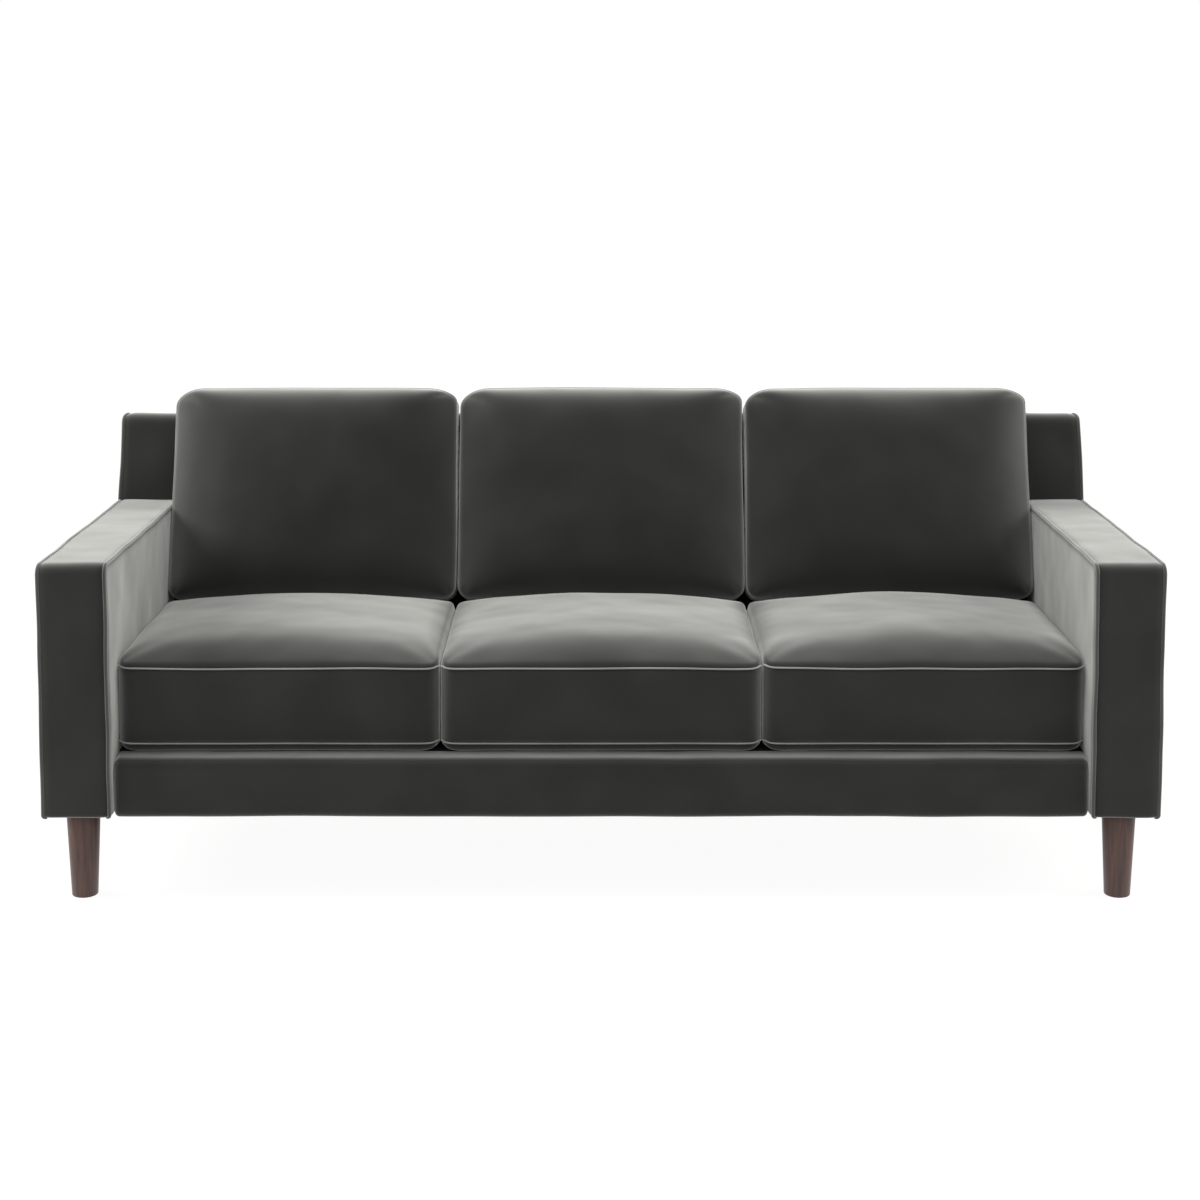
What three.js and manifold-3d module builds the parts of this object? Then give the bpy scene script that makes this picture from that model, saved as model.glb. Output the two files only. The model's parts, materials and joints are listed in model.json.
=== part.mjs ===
// A three-seat sofa with square arms, a raked full-width back and six loose cushions.
// Millimetres, +Z up. The front faces -Y, and left and right are as seen from the front.
// Pieces are placed with Y counted back from the arm fronts, and the last lines move the
// whole sofa so that its origin lies on the floor, under the middle of its box.
import * as THREE from "three";
import { mergeVertices } from "three/addons/utils/BufferGeometryUtils.js";
import Module from "manifold-3d";

const wasm = await Module();
wasm.setup();

// Overall sizes
const overallWidth = 1950;
const frameUnderside = 155;
const armWidth = 122;
const armTopHeight = 600;
const armFootLength = 503;
const armFrontRadius = 14;
const seatNames = ["left", "centre", "right"];
const sideNames = ["left", "right"];

// Gaps: between pieces that touch, and round the loose cushions
const touchGap = 0.3;
const restGap = 0.5;
const cushionGap = 1.5;
const overrun = 20;

// Raked back
const backRakeDegrees = 16.5;
const backTopHeight = 773;
const backThickness = 120;
const backFrontRadius = 22;
const backRearRadius = 26;

// Padding under the covers, and the boards and sheets
const padding = 14;
const outsideBackThickness = 12;
const railThickness = 28;
const railHeight = 68;
const postWidth = 60;
const armRailHeight = 45;
const backRailHeight = 70;
const dustCoverThickness = 1.4;
const bracketThickness = 3;
const bracketWidth = 60;
const bracketReach = 45;

// Front rail cover and seat deck
const railSetback = 18;
const railCoverTop = 254;
const railCoverBottom = 150;
const railCoverTopRadius = 20;
const railCoverBottomRadius = 10;
const railCoverDepth = 57;
const springWire = 4;
const springLoopWidth = 52;
const springPitch = 55;
const springsPerSeat = 3;
const springStepsPerLoop = 6;
const springSpread = 170;
const springOverlap = 16;

// Legs and their fittings
const legTopRadius = 29.6;
const legFootRadius = 22.7;
const legFootRounding = 2;
const legSetback = 55;
const legSides = 28;
const plateThickness = 2.4;
const plateWidth = 68;
const boltRadius = 4;
const boltInLeg = 32;
const boltInFrame = 34;
const boltSides = 12;

// Seat cushions: a box between two seams, with a high crown above and a flattened one below
const seatSetback = 50;
const seatRearGap = 1.5;
const seatBoxing = 137;
const seatCrown = 50;
const seatBelly = 14;
const seatCornerRadius = 28;
const seatCrownShare = 0.3;

// Back cushions: the same build, with the crown to the front
const backCushionHeight = 408;
const backCushionBoxing = 92;
const backCushionCrown = 33;
const backCushionBelly = 14;
const backCornerRadius = 36;
const backCrownShare = 0.4;
const backCushionRearGap = 1;

// Cushion forms
const sideDraw = 4;
const boxingBulge = 3;
const cornerSteps = 2;
const acrossSteps = 10;
const alongSteps = 8;
const boxingSteps = 3;
const coreInset = 20;
const zipHeight = 6;
const zipLengthShare = 0.7;
const bellyShare = 3;
const footSteps = 40;

// Levels and lengths that follow
const rake = THREE.MathUtils.degToRad(backRakeDegrees);
const halfWidth = overallWidth / 2;
const halfInside = halfWidth - armWidth;
const legHeight = frameUnderside - plateThickness - 2 * touchGap;
const railUnderside = frameUnderside + dustCoverThickness + 2 * touchGap;
const railTop = railUnderside + railHeight;
const springLevel = railTop + touchGap + springWire / 2;
const deckUnderside = springLevel + springWire / 2 + touchGap;
const frontRailFront = railSetback + padding + touchGap;
const frontRailRear = frontRailFront + railThickness;
const rearRailRear = armFootLength - touchGap;
const rearRailFront = rearRailRear - railThickness;
const baseHalfWidth = halfInside - touchGap;
const seatPitch = (2 * halfInside - cushionGap) / seatNames.length;
const cushionWidth = seatPitch - cushionGap;

// Depth of a plane parallel to the back's front face and lying inset behind it, at a height
function backPlane(height, inset) {
  return armFootLength + (height - frameUnderside) * Math.tan(rake) + inset / Math.cos(rake);
}

// Middle of seat number i, counted from the left
function seatMiddle(i) {
  return (i - (seatNames.length - 1) / 2) * seatPitch;
}

// Materials
function finish(color, roughness, metalness) {
  return new THREE.MeshStandardMaterial({ color, roughness, metalness });
}
const velvet = finish(0x3c3b38, 0.95, 0);
const walnut = finish(0x5d4339, 0.5, 0);
const pine = finish(0xcfae7c, 0.8, 0);
const steel = finish(0x8d9093, 0.4, 0.9);
const springSteel = finish(0x3a3a3c, 0.5, 0.9);
const foam = finish(0xe8dfc4, 0.95, 0);
const lining = finish(0x1d1d1f, 0.95, 0);

// The scene graph
const sofa = new THREE.Group();
const baseGroup = new THREE.Group();
const armGroup = new THREE.Group();
const backGroup = new THREE.Group();
const legGroup = new THREE.Group();
const cushionGroup = new THREE.Group();
sofa.add(baseGroup, armGroup, backGroup, legGroup, cushionGroup);

function addMesh(group, name, geometry, material) {
  const mesh = new THREE.Mesh(geometry, material);
  mesh.name = name;
  group.add(mesh);
  return mesh;
}

// A board or sheet between two places along each axis
function addBlock(group, name, material, [x0, x1], [y0, y1], [z0, z1]) {
  const mesh = addMesh(group, name, new THREE.BoxGeometry(x1 - x0, y1 - y0, z1 - z0), material);
  mesh.position.set((x0 + x1) / 2, (y0 + y1) / 2, (z0 + z1) / 2);
  return mesh;
}

// The same block as a bare geometry, for cutting
function blockGeometry([x0, x1], [y0, y1], [z0, z1]) {
  const geometry = new THREE.BoxGeometry(x1 - x0, y1 - y0, z1 - z0);
  return geometry.translate((x0 + x1) / 2, (y0 + y1) / 2, (z0 + z1) / 2);
}

// Joining and cutting of closed geometries
function solidOf(geometry) {
  const bare = new THREE.BufferGeometry();
  bare.setAttribute("position", geometry.getAttribute("position"));
  bare.setIndex(geometry.getIndex());
  const welded = mergeVertices(bare);
  return new wasm.Manifold(
    new wasm.Mesh({
      numProp: 3,
      vertProperties: welded.getAttribute("position").array,
      triVerts: new Uint32Array(welded.getIndex().array),
    }),
  );
}

function geometryOf(solid) {
  const { vertProperties, triVerts } = solid.getMesh();
  const geometry = new THREE.BufferGeometry();
  geometry.setAttribute("position", new THREE.BufferAttribute(vertProperties, 3));
  geometry.setIndex(new THREE.BufferAttribute(triVerts, 1));
  const faceted = geometry.toNonIndexed();
  faceted.computeVertexNormals();
  return faceted;
}

function cut(body, ...tools) {
  return geometryOf(tools.reduce((left, tool) => left.subtract(solidOf(tool)), solidOf(body)));
}

function join(...bodies) {
  return geometryOf(bodies.map(solidOf).reduce((whole, next) => whole.add(next)));
}

// A side outline in Y and Z, its corners rounded where they name a radius, pulled from x0 to x1
const sideways = new THREE.Matrix4().makeBasis(
  new THREE.Vector3(0, 1, 0),
  new THREE.Vector3(0, 0, 1),
  new THREE.Vector3(1, 0, 0),
);

function sideProfile(corners, [x0, x1]) {
  const shape = new THREE.Shape();
  corners.forEach(([y, z, radius = 0], i) => {
    const corner = new THREE.Vector2(y, z);
    const before = new THREE.Vector2(...corners.at(i - 1).slice(0, 2));
    const after = new THREE.Vector2(...corners[(i + 1) % corners.length].slice(0, 2));
    const start = before.sub(corner).setLength(radius).add(corner);
    const end = after.sub(corner).setLength(radius).add(corner);
    if (i === 0) shape.moveTo(start.x, start.y);
    else shape.lineTo(start.x, start.y);
    if (radius > 0) shape.quadraticCurveTo(corner.x, corner.y, end.x, end.y);
  });
  shape.closePath();
  const pulled = { depth: x1 - x0, bevelEnabled: false, curveSegments: 6 };
  return new THREE.ExtrudeGeometry(shape, pulled).applyMatrix4(sideways).translate(x0, 0, 0);
}

// A board of the raked back, between two insets behind its front face and two heights
function rakedOutline(frontInset, rearInset, low, high) {
  return [
    [backPlane(low, frontInset), low],
    [backPlane(low, rearInset), low],
    [backPlane(high, rearInset), high],
    [backPlane(high, frontInset), high],
  ];
}

// An upright bolt, or the hole for one
function upright(radius, low, high, x, y) {
  const rod = new THREE.CylinderGeometry(radius, radius, high - low, boltSides);
  return rod.rotateX(Math.PI / 2).translate(x, y, (low + high) / 2);
}

// Leg places: centred under the arms, the rear pair under the middle of the raked back
const legX = halfWidth - armWidth / 2;
const rearLegY = backPlane(frameUnderside, backThickness / 2);
const legPlaces = [
  { name: "front_left", x: -legX, y: legSetback },
  { name: "front_right", x: legX, y: legSetback },
  { name: "rear_left", x: -legX, y: rearLegY },
  { name: "rear_right", x: legX, y: rearLegY },
];
const boltLow = legHeight - boltInLeg;
const boltHigh = frameUnderside + boltInFrame;

function boltHole(place) {
  const low = boltLow - touchGap;
  return upright(boltRadius + touchGap, low, boltHigh + touchGap, place.x, place.y);
}

// A round tapered leg with a blind hole for its bolt
function legGeometry() {
  const taper = (legTopRadius - legFootRadius) / legHeight;
  const holeRadius = boltRadius + touchGap;
  const profile = [
    [0, 0],
    [legFootRadius - legFootRounding, 0],
    [legFootRadius + taper * legFootRounding, legFootRounding],
    [legTopRadius, legHeight],
    [holeRadius, legHeight],
    [holeRadius, boltLow - touchGap],
    [0, boltLow - touchGap],
  ].map(([radius, height]) => new THREE.Vector2(radius, height));
  return new THREE.LatheGeometry(profile, legSides).rotateX(Math.PI / 2);
}

for (const place of legPlaces) {
  const leg = addMesh(legGroup, `leg_${place.name}`, legGeometry(), walnut);
  leg.position.set(place.x, place.y, 0);
  const plateLevels = [legHeight + touchGap, frameUnderside - touchGap];
  const plate = blockGeometry(
    [place.x - plateWidth / 2, place.x + plateWidth / 2],
    [place.y - plateWidth / 2, place.y + plateWidth / 2],
    plateLevels,
  );
  addMesh(legGroup, `leg_plate_${place.name}`, cut(plate, boltHole(place)), steel);
  const bolt = upright(boltRadius, boltLow, boltHigh, place.x, place.y);
  addMesh(legGroup, `hanger_bolt_${place.name}`, bolt, steel);
}

// Base frame between the arms: front and rear rail, two end rails, a brace between each two seats
const railLevels = [railUnderside, railTop];
const fullBase = [-baseHalfWidth, baseHalfWidth];
const innerY = [frontRailRear + touchGap, rearRailFront - touchGap];
addBlock(baseGroup, "base_front_rail", pine, fullBase, [frontRailFront, frontRailRear], railLevels);
addBlock(baseGroup, "base_rear_rail", pine, fullBase, [rearRailFront, rearRailRear], railLevels);
sideNames.forEach((side, i) => {
  const middle = (2 * i - 1) * (baseHalfWidth - railThickness / 2);
  const span = [middle - railThickness / 2, middle + railThickness / 2];
  addBlock(baseGroup, `base_end_rail_${side}`, pine, span, innerY, railLevels);
});
for (let i = 1; i < seatNames.length; i++) {
  const middle = (seatMiddle(i - 1) + seatMiddle(i)) / 2;
  const span = [middle - railThickness / 2, middle + railThickness / 2];
  const name = `base_brace_${seatNames[i - 1]}_${seatNames[i]}`;
  addBlock(baseGroup, name, pine, span, innerY, railLevels);
  const bracketSpan = [middle - bracketWidth / 2, middle + bracketWidth / 2];
  const bracketY = [rearRailFront, backPlane(frameUnderside, padding) + bracketReach];
  const bracketLevels = [frameUnderside - touchGap - bracketThickness, frameUnderside - touchGap];
  const bracketName = `back_bracket_${seatNames[i - 1]}_${seatNames[i]}`;
  addBlock(baseGroup, bracketName, steel, bracketSpan, bracketY, bracketLevels);
}

// Seat springs: sinuous wires from the front rail to the rear rail, tied across under each seat
const springStart = frontRailRear - springOverlap;
const springEnd = rearRailFront + springOverlap;

function springGeometry(x) {
  const loops = Math.round((springEnd - springStart) / springPitch);
  const steps = loops * springStepsPerLoop;
  const points = [];
  for (let i = 0; i <= steps; i++) {
    const swing = (springLoopWidth / 2) * Math.sin((2 * Math.PI * i) / springStepsPerLoop);
    const y = THREE.MathUtils.lerp(springStart, springEnd, i / steps);
    points.push(new THREE.Vector3(x + swing, y, springLevel));
  }
  const extrudePath = new THREE.CatmullRomCurve3(points);
  return new THREE.ExtrudeGeometry(wireSection(), { steps, extrudePath, bevelEnabled: false });
}

function wireSection() {
  const half = springWire / 2;
  const corners = [new THREE.Vector2(-half, -half), new THREE.Vector2(half, -half)];
  corners.push(new THREE.Vector2(half, half), new THREE.Vector2(-half, half));
  return new THREE.Shape(corners);
}

seatNames.forEach((seat, i) => {
  const wires = [];
  for (let n = 0; n < springsPerSeat; n++) {
    wires.push(springGeometry(seatMiddle(i) + (n - (springsPerSeat - 1) / 2) * springSpread));
  }
  const halfTie = ((springsPerSeat - 1) * springSpread + springLoopWidth) / 2;
  const middle = (springStart + springEnd) / 2;
  const tie = blockGeometry(
    [seatMiddle(i) - halfTie, seatMiddle(i) + halfTie],
    [middle - springWire / 2, middle + springWire / 2],
    [springLevel - springWire / 2, springLevel + springWire / 2],
  );
  addMesh(baseGroup, `seat_springs_${seat}`, join(...wires, tie), springSteel);
});

// The padded cover wraps round the front rail and is open to the rear
const railCoverRear = railSetback + railCoverDepth;
const railCoverInside = railSetback + padding;
const railCover = [
  [railSetback, railCoverBottom, railCoverBottomRadius],
  [railCoverRear, railCoverBottom],
  [railCoverRear, railUnderside - touchGap],
  [railCoverInside, railUnderside - touchGap],
  [railCoverInside, deckUnderside],
  [railCoverRear, deckUnderside],
  [railCoverRear, railCoverTop],
  [railSetback, railCoverTop, railCoverTopRadius],
];
addMesh(baseGroup, "front_rail_cover", sideProfile(railCover, fullBase), velvet);

// The deck on the springs, and the cloth under the base
const deckRear = backPlane(deckUnderside, 0) - touchGap;
const deckY = [railCoverRear + touchGap, deckRear];
addBlock(baseGroup, "seat_deck", lining, fullBase, deckY, [deckUnderside, railCoverTop]);
const dustY = [railCoverRear + touchGap, rearRailRear];
const dustLevels = [frameUnderside + touchGap, railUnderside - touchGap];
addBlock(baseGroup, "dust_cover", lining, fullBase, dustY, dustLevels);

// Arms: a board frame in a padded cover that is open below, its rear end cut to the rake
const armCavityFront = padding + touchGap;
const armCavityTop = armTopHeight - padding - touchGap;

// Depth of the arm's rear end, or of a cut square to it, at a height
function armRear(height, inset) {
  return backPlane(height, -touchGap - inset);
}

function armOutline() {
  return [
    [0, frameUnderside],
    [armRear(frameUnderside, 0), frameUnderside],
    [armRear(armTopHeight, 0), armTopHeight],
    [0, armTopHeight, armFrontRadius],
  ];
}

// A board that runs from the front of the arm's cavity to its raked end
function armRail(low, high) {
  return [
    [armCavityFront, low],
    [armRear(low, padding + touchGap), low],
    [armRear(high, padding + touchGap), high],
    [armCavityFront, high],
  ];
}

sideNames.forEach((side, i) => {
  const sign = 2 * i - 1;
  const middle = sign * legX;
  const outer = [middle - armWidth / 2, middle + armWidth / 2];
  const inner = [outer[0] + padding, outer[1] - padding];
  const board = [inner[0] + touchGap, inner[1] - touchGap];
  const lowEdge = frameUnderside - overrun;
  const cavity = [
    [padding, lowEdge],
    [armRear(lowEdge, padding), lowEdge],
    [armRear(armCavityTop + touchGap, padding), armCavityTop + touchGap],
    [padding, armCavityTop + touchGap],
  ];
  const shell = cut(sideProfile(armOutline(), outer), sideProfile(cavity, inner));
  addMesh(armGroup, `arm_cover_${side}`, shell, velvet);

  const bottomTop = frameUnderside + armRailHeight;
  const topBottom = armCavityTop - armRailHeight;
  const bottomRail = sideProfile(armRail(frameUnderside, bottomTop), board);
  const drilled = cut(bottomRail, boltHole(legPlaces[i]));
  addMesh(armGroup, `arm_bottom_rail_${side}`, drilled, pine);
  const topRail = sideProfile(armRail(topBottom, armCavityTop), board);
  addMesh(armGroup, `arm_top_rail_${side}`, topRail, pine);
  const postLevels = [bottomTop + touchGap, topBottom - touchGap];
  const frontY = [armCavityFront, armCavityFront + postWidth];
  addBlock(armGroup, `arm_front_post_${side}`, pine, board, frontY, postLevels);
  const rearInsets = [-(2 * touchGap + padding + postWidth), -(2 * touchGap + padding)];
  const rearPost = sideProfile(rakedOutline(...rearInsets, ...postLevels), board);
  addMesh(armGroup, `arm_rear_post_${side}`, rearPost, pine);
});

// Raked back: a padded cover over the front, top and ends, boards inside, a panel at the rear
const backRearTopHeight = backTopHeight - backThickness * Math.sin(rake);
const backCavityTop = backRearTopHeight - padding;
const backWhole = [-halfWidth, halfWidth];
const backInside = [-halfWidth + padding, halfWidth - padding];
const backBoards = [backInside[0] + touchGap, backInside[1] - touchGap];
const boardFront = padding + touchGap;
const boardRear = backThickness - outsideBackThickness - touchGap;
const backOutline = [
  [backPlane(frameUnderside, 0), frameUnderside],
  [backPlane(frameUnderside, backThickness), frameUnderside],
  [backPlane(backRearTopHeight, backThickness), backRearTopHeight, backRearRadius],
  [backPlane(backTopHeight, 0), backTopHeight, backFrontRadius],
];
const backCavity = rakedOutline(
  padding,
  backThickness + overrun,
  frameUnderside - overrun,
  backCavityTop,
);
const backShell = cut(sideProfile(backOutline, backWhole), sideProfile(backCavity, backInside));
addMesh(backGroup, "back_cover", backShell, velvet);

const panelInset = backThickness - outsideBackThickness;
const panel = rakedOutline(panelInset, backThickness, frameUnderside, backCavityTop - touchGap);
addMesh(backGroup, "outside_back_panel", sideProfile(panel, backBoards), velvet);

const backRailTop = frameUnderside + backRailHeight;
const backTopRailBottom = backCavityTop - touchGap - backRailHeight;
const backBottomRail = rakedOutline(boardFront, boardRear, frameUnderside, backRailTop);
const drilledBackRail = cut(
  sideProfile(backBottomRail, backBoards),
  boltHole(legPlaces[2]),
  boltHole(legPlaces[3]),
);
addMesh(backGroup, "back_bottom_rail", drilledBackRail, pine);
const topLevels = [backTopRailBottom, backCavityTop - touchGap];
const backTopRail = rakedOutline(boardFront, boardRear, ...topLevels);
addMesh(backGroup, "back_top_rail", sideProfile(backTopRail, backBoards), pine);

const postLevels = [backRailTop + touchGap, backTopRailBottom - touchGap];
const backPost = rakedOutline(boardFront, boardRear, ...postLevels);
const endPostMiddle = backBoards[1] - postWidth / 2;
const backPosts = [["end_left", -endPostMiddle]];
for (let i = 1; i < seatNames.length; i++) {
  const name = `${seatNames[i - 1]}_${seatNames[i]}`;
  backPosts.push([name, (seatMiddle(i - 1) + seatMiddle(i)) / 2]);
}
backPosts.push(["end_right", endPostMiddle]);
for (const [name, middle] of backPosts) {
  const span = [middle - postWidth / 2, middle + postWidth / 2];
  addMesh(backGroup, `back_post_${name}`, sideProfile(backPost, span), pine);
}

// Grid lines across a side: close together round the corners, even between them
function gridLines(length, cornerRadius, middleSteps) {
  const half = length / 2;
  const straight = half - cornerRadius;
  const lines = [];
  for (let i = 0; i < cornerSteps; i++) lines.push(-half + (cornerRadius * i) / cornerSteps);
  for (let i = 0; i <= middleSteps; i++) lines.push(straight * ((2 * i) / middleSteps - 1));
  for (let i = 1; i <= cornerSteps; i++) lines.push(straight + (cornerRadius * i) / cornerSteps);
  return lines;
}

// A point of the square corner moved onto the round one
function roundCorner(x, y, halfX, halfY, radius) {
  const pastX = Math.abs(x) - (halfX - radius);
  const pastY = Math.abs(y) - (halfY - radius);
  if (pastX <= 0 || pastY <= 0) return [x, y];
  const shrink = Math.max(pastX, pastY) / Math.hypot(pastX, pastY);
  return [
    Math.sign(x) * (halfX - radius + pastX * shrink),
    Math.sign(y) * (halfY - radius + pastY * shrink),
  ];
}

// A stuffed cushion, lying flat with its lower seam at height 0: rounded corners, sides drawn in
// between them, boxing that swells between its two seams, a crown above and a flattened belly
function cushionGeometry({ width, length, boxing, crown, belly, radius, crownShare }) {
  const across = gridLines(width, radius, acrossSteps);
  const along = gridLines(length, radius, alongSteps);
  const counts = [across.length - 1, along.length - 1, boxingSteps];
  const geometry = new THREE.BoxGeometry(1, 1, 1, ...counts);
  const place = geometry.getAttribute("position");
  for (let i = 0; i < place.count; i++) {
    const [column, row, level] = [place.getX(i), place.getY(i), place.getZ(i)].map((unit, n) =>
      Math.round((unit + 1 / 2) * counts[n]),
    );
    const restX = 1 - (across[column] / (width / 2)) ** 2;
    const restY = 1 - (along[row] / (length / 2)) ** 2;
    const fullness = Math.max(restX * restY, 0) ** crownShare;
    const rise = level / boxingSteps;
    const draw = sideDraw - 4 * boxingBulge * rise * (1 - rise);
    const [x, y] = roundCorner(across[column], along[row], width / 2, length / 2, radius);
    let z = boxing * rise;
    if (level === boxingSteps) z += crown * fullness;
    if (level === 0) z -= belly * Math.min(1, bellyShare * fullness);
    const drawnX = x - ((draw * x) / (width / 2)) * restY;
    const drawnY = y - ((draw * y) / (length / 2)) * restX;
    place.setXYZ(i, drawnX, drawnY, z);
  }
  return geometry;
}

// The cover with its wadding, hollow for the core and open at the zip in its rear or lower side
function cushionCover(form, zipSide) {
  const hollowX = form.width / 2 - coreInset;
  const hollowY = form.length / 2 - coreInset;
  const hollow = blockGeometry([-hollowX, hollowX], [-hollowY, hollowY], [0, form.boxing]);
  const zipX = (form.width * zipLengthShare) / 2;
  const zipY = [0, zipSide * (form.length / 2 + overrun)].sort((a, b) => a - b);
  const zipZ = [(form.boxing - zipHeight) / 2, (form.boxing + zipHeight) / 2];
  return cut(cushionGeometry(form), hollow, blockGeometry([-zipX, zipX], zipY, zipZ));
}

function cushionCore(form) {
  const inset = 2 * (coreInset + touchGap);
  const core = new THREE.BoxGeometry(
    form.width - inset,
    form.length - inset,
    form.boxing - 2 * touchGap,
  );
  return core.translate(0, 0, form.boxing / 2);
}

// Seat cushions lie on the deck and stop just short of the raked back
const seatUnderside = railCoverTop + restGap;
const seatRear = backPlane(seatUnderside, 0) - seatRearGap;
const seatForm = {
  width: cushionWidth,
  length: seatRear - seatSetback,
  boxing: seatBoxing,
  crown: seatCrown,
  belly: seatBelly,
  radius: seatCornerRadius,
  crownShare: seatCrownShare,
};
const seatMiddleY = (seatSetback + seatRear) / 2;
const seatSeamLevel = seatUnderside + seatBelly;
seatNames.forEach((seat, i) => {
  const group = new THREE.Group();
  group.position.set(seatMiddle(i), seatMiddleY, seatSeamLevel);
  addMesh(group, `seat_cushion_cover_${seat}`, cushionCover(seatForm, 1), velvet);
  addMesh(group, `seat_cushion_foam_${seat}`, cushionCore(seatForm), foam);
  cushionGroup.add(group);
});

// Height of the seat's crown along its middle
function seatCrownHeight(y) {
  const share = (y - seatMiddleY) / (seatForm.length / 2);
  const fullness = Math.max(1 - share * share, 0) ** seatCrownShare;
  return seatSeamLevel + seatBoxing + seatCrown * fullness;
}

// Back cushions lean on the raked back and rest on the seat crowns: the foot of the raked face
// rises until no point of the cushion's lower side is nearer to the crowns than the rest gap
const backForm = {
  width: cushionWidth,
  length: backCushionHeight,
  boxing: backCushionBoxing,
  crown: backCushionCrown,
  belly: backCushionBelly,
  radius: backCornerRadius,
  crownShare: backCrownShare,
};
const backCushionDepth = backCushionRearGap + backCushionBelly + backCushionBoxing;

// The height that a foot at the given height needs for the lower side to clear the crowns
function footNeeded(height) {
  let needed = height;
  for (let i = 0; i <= footSteps; i++) {
    const out = (backCushionDepth * i) / footSteps;
    const crown = seatCrownHeight(backPlane(height, 0) - out * Math.cos(rake));
    needed = Math.max(needed, crown + restGap - out * Math.sin(rake));
  }
  return needed;
}
let footHeight = seatSeamLevel + seatBoxing;
for (let i = 0; i < footSteps; i++) footHeight = footNeeded(footHeight);
seatNames.forEach((seat, i) => {
  const group = new THREE.Group();
  group.position.set(seatMiddle(i), backPlane(footHeight, 0), footHeight);
  group.rotation.x = -rake;
  const lying = new THREE.Group();
  lying.position.set(0, -(backCushionRearGap + backCushionBelly), backCushionHeight / 2);
  lying.rotation.x = Math.PI / 2;
  addMesh(lying, `back_cushion_cover_${seat}`, cushionCover(backForm, -1), velvet);
  addMesh(lying, `back_cushion_filling_${seat}`, cushionCore(backForm), foam);
  group.add(lying);
  cushionGroup.add(group);
});

// The origin goes to the floor, under the middle of the sofa's box
const box = new THREE.Box3().setFromObject(sofa, true);
sofa.position.y = -(box.min.y + box.max.y) / 2;

export default sofa;
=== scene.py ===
# %% [markdown]
# A three-seat sofa in dark velvet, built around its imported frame. Boards, springs, legs and
# cushions already stand where the frame says. This file gives them what the eye sees: cloth
# pulled over padding, welts along the seams, stuffed cushions and a wood finish on the legs.

# %% The frame and its measures
import json
import math

import bmesh
import bpy
from mathutils import Matrix, Vector, noise


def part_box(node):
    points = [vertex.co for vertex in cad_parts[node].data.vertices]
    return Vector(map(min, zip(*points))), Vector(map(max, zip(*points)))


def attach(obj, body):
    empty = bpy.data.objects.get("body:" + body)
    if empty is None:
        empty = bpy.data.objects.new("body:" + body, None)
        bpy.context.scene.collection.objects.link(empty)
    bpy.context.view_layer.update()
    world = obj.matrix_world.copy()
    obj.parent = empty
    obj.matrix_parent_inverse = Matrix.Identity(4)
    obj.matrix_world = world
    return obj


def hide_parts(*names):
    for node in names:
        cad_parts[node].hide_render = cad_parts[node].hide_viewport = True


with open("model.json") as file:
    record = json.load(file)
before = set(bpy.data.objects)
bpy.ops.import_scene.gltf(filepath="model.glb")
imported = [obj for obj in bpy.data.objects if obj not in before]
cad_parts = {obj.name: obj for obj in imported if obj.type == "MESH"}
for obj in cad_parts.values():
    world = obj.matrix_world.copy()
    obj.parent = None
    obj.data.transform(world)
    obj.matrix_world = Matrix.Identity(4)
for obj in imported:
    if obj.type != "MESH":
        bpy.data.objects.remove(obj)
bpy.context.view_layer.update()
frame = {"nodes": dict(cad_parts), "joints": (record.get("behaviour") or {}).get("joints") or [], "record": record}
scene = bpy.context.scene
MM = 0.001
SIDES = ("left", "right")
SEATS = ("left", "centre", "right")
noise.seed_set(3)  # unseeded, noise vectors differ from one run to the next

# %% [markdown]
# The lift joint of a back cushion runs up the raked back, so its axis gives the rake. In
# raked coordinates, turned by that angle, the back is an upright box and easy to shape.

# %% Levels, faces and the rake, all read from the frame
lift_axis = next(j["axis"] for j in frame["joints"] if j["name"] == "back_cushion_centre_lift")
RAKE = math.atan2(lift_axis[1], lift_axis[2])
to_raked = Matrix.Rotation(RAKE, 3, "X")
from_raked = to_raked.inverted()

arm_low, arm_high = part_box("arm_cover_left")
back_low, back_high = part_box("back_cover")
rail_low, rail_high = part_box("front_rail_cover")
UNDERSIDE = arm_low.z
ARM_TOP = arm_high.z
FRONT = arm_low.y
HALF_WIDTH = back_high.x
HALF_INSIDE = -arm_high.x
BACK_FOOT = back_low.y


def raked_box(node):
    """Lowest and highest corner of a CAD node, in raked coordinates."""
    places = [to_raked @ v.co for v in frame["nodes"][node].data.vertices]
    lows = Vector(min(p[i] for p in places) for i in range(3))
    highs = Vector(max(p[i] for p in places) for i in range(3))
    return lows, highs


def back_plane(height):
    """Y of the raked back's front face at a height."""
    return BACK_FOOT + (height - UNDERSIDE) * math.tan(RAKE)


print("rake", round(math.degrees(RAKE), 2), "degrees; inside width", round(2 * HALF_INSIDE, 4), "m")

# %% [markdown]
# Colours are written as the sRGB hex values that a paint chart would give. Blender mixes light
# in linear values, so one function turns the one into the other.

# %% Colour and node helpers
def linear(code):
    """The linear RGBA of an sRGB hex colour such as 2B2C2A."""
    shades = [int(code[i : i + 2], 16) / 255 for i in (0, 2, 4)]
    return (*[s / 12.92 if s <= 0.04045 else ((s + 0.055) / 1.055) ** 2.4 for s in shades], 1)


def add_node(tree, kind, links=(), values=(), **settings):
    """A new node with its settings, its socket values and its links from other sockets."""
    node = tree.nodes.new(kind)
    for name, value in settings.items():
        setattr(node, name, value)
    for name, value in values:
        node.inputs[name].default_value = value
    for name, source in links:
        tree.links.new(source, node.inputs[name])
    return node


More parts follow.
